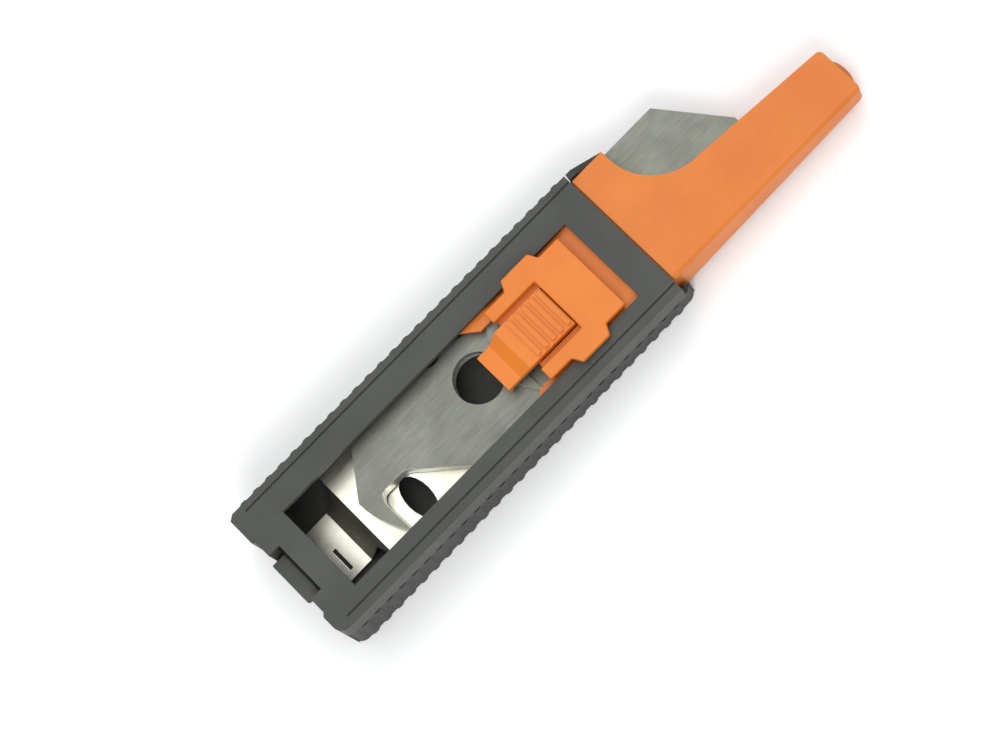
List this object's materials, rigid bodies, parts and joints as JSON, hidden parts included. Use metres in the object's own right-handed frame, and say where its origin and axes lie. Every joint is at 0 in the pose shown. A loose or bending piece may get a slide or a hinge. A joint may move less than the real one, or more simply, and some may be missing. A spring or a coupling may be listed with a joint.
{
  "type": "hook blade dispenser",
  "caption": "Flat wedge-shaped pocket dispenser for utility hook blades, with a windowed cover, thumb slider, spring-fed blade stack and slim guide nose.",
  "frame": {"origin": "middle of the bounding box, on the flat back that the dispenser lies on", "axes": "+X along the flat back towards the nose tip, +Y towards the blades' spines, +Z out of the window; the window's face slopes down towards the nose by 3.14 degrees, because the box is a wedge"},
  "size_m": [0.1086, 0.0248, 0.0127],
  "materials": {
    "grey_tray": "moulded, ribbed grip on the sides",
    "grey_cover": "moulded satin",
    "orange_nose": "moulded satin",
    "orange_slider": "moulded satin",
    "blade_steel": "satin rolled steel with bright cut edges",
    "spring_steel": "polished"
  },
  "bodies": {
    "base": {"base_tray": "grey_tray", "nose_upper": "orange_nose", "nose_lower": "orange_nose", "leaf_spring": "spring_steel"},
    "cover": {"front_cover": "grey_cover"},
    "latch": {"rear_latch": "grey_tray"},
    "slider": {"slider_plate": "orange_slider", "slider_shoe": "orange_slider"},
    "tongue": {"thumb_tongue": "orange_slider"},
    "blade_stack": {"blade_01": "blade_steel", "blade_02": "blade_steel", "blade_03": "blade_steel", "blade_04": "blade_steel"},
    "top_blade": {"dispensed_blade": "blade_steel"}
  },
  "joints": [
    {"name": "cover_lift", "type": "hinge", "parent": "base", "child": "cover", "pos_m": [0.01536, 0, 0.00895], "axis": [0, 1, 0], "range_deg": [0, 40]},
    {"name": "latch_flex", "type": "hinge", "parent": "base", "child": "latch", "pos_m": [-0.05296, -0.00078, 0.00233], "axis": [0, -1, 0], "range_deg": [0, 8], "stiffness_Nm_per_rad": 0.3},
    {"name": "slider_slide", "type": "slide", "parent": "cover", "child": "slider", "axis": [0.9985, 0, -0.0547], "range_m": [-0.028, 0]},
    {"name": "tongue_flex", "type": "hinge", "parent": "slider", "child": "tongue", "pos_m": [0.00132, -0.00115, 0.01052], "axis": [0, -1, 0], "range_deg": [0, 2.6], "stiffness_Nm_per_rad": 0.5},
    {"name": "stack_press", "type": "slide", "parent": "base", "child": "blade_stack", "axis": [0.0547, 0, 0.9985], "range_m": [-0.0008, 0], "stiffness_N_per_m": 2000, "springref_m": 0.0005, "deforming": ["leaf_spring"]},
    {"name": "blade_feed", "type": "slide", "parent": "base", "child": "top_blade", "axis": [0.9985, 0, -0.0547], "range_m": [0, 0.045]}
  ]
}
